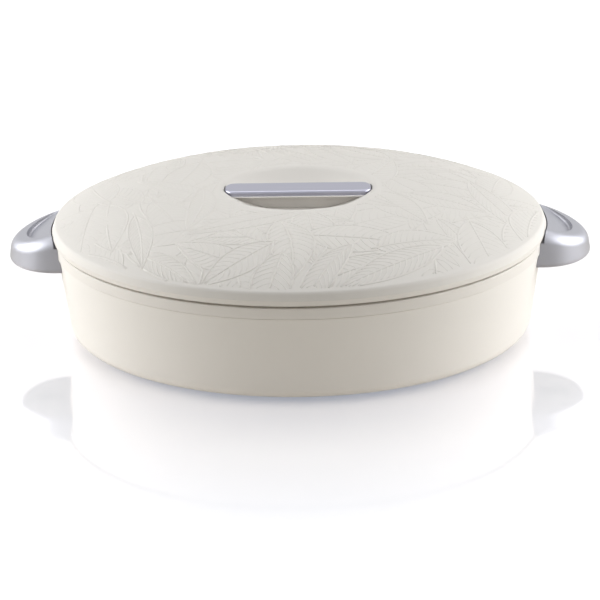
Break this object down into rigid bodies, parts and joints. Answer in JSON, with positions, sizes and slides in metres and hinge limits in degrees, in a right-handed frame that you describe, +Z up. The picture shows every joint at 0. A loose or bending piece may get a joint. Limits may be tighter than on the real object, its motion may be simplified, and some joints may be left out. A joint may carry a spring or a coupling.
{
  "type": "insulated food container",
  "caption": "Oval insulated food container with a drafted ivory body, ear handles with thumb rests, a steel bowl and a lift-off domed lid with a finger well and grip bar.",
  "frame": {"origin": "middle of the foot ring on the table, under the middle of the lid", "axes": "+X along the length towards the right handle as seen from the front, -Y the front, +Z up"},
  "size_m": [0.4138, 0.28, 0.1066],
  "materials": {
    "ivory_shell": "satin pearl ivory",
    "inner_panel": "plain ivory moulding",
    "bowl_steel": "polished stainless steel",
    "foam": "rigid foam",
    "plug_plastic": "plain",
    "seal_rubber": "soft pale grey",
    "silver_handle": "satin silver coating",
    "handle_cover": "fine grain grey",
    "silver_bar": "satin silver coating",
    "bright_trim": "bright plating",
    "grip_upright": "grey-beige",
    "screw_steel": "zinc plated"
  },
  "bodies": {
    "container": {"outer_body": "ivory_shell", "rim_ring": "ivory_shell", "inner_liner": "bowl_steel", "body_insulation": "foam", "body_foam_plug": "plug_plastic", "left_handle": "silver_handle", "right_handle": "silver_handle", "left_handle_cover": "handle_cover", "right_handle_cover": "handle_cover", "left_handle_screws": "screw_steel", "right_handle_screws": "screw_steel"},
    "lid": {"lid_cover": "ivory_shell", "lid_liner": "inner_panel", "lid_insulation": "foam", "lid_foam_plug": "plug_plastic", "lid_seal": "seal_rubber", "grip_bar": "silver_bar", "grip_trim": "bright_trim", "grip_web": "grip_upright", "grip_screws": "screw_steel"}
  },
  "joints": [
    {"name": "lid_lift", "type": "slide", "parent": "container", "child": "lid", "axis": [0, 0, 1], "range_m": [0, 0.15]}
  ]
}
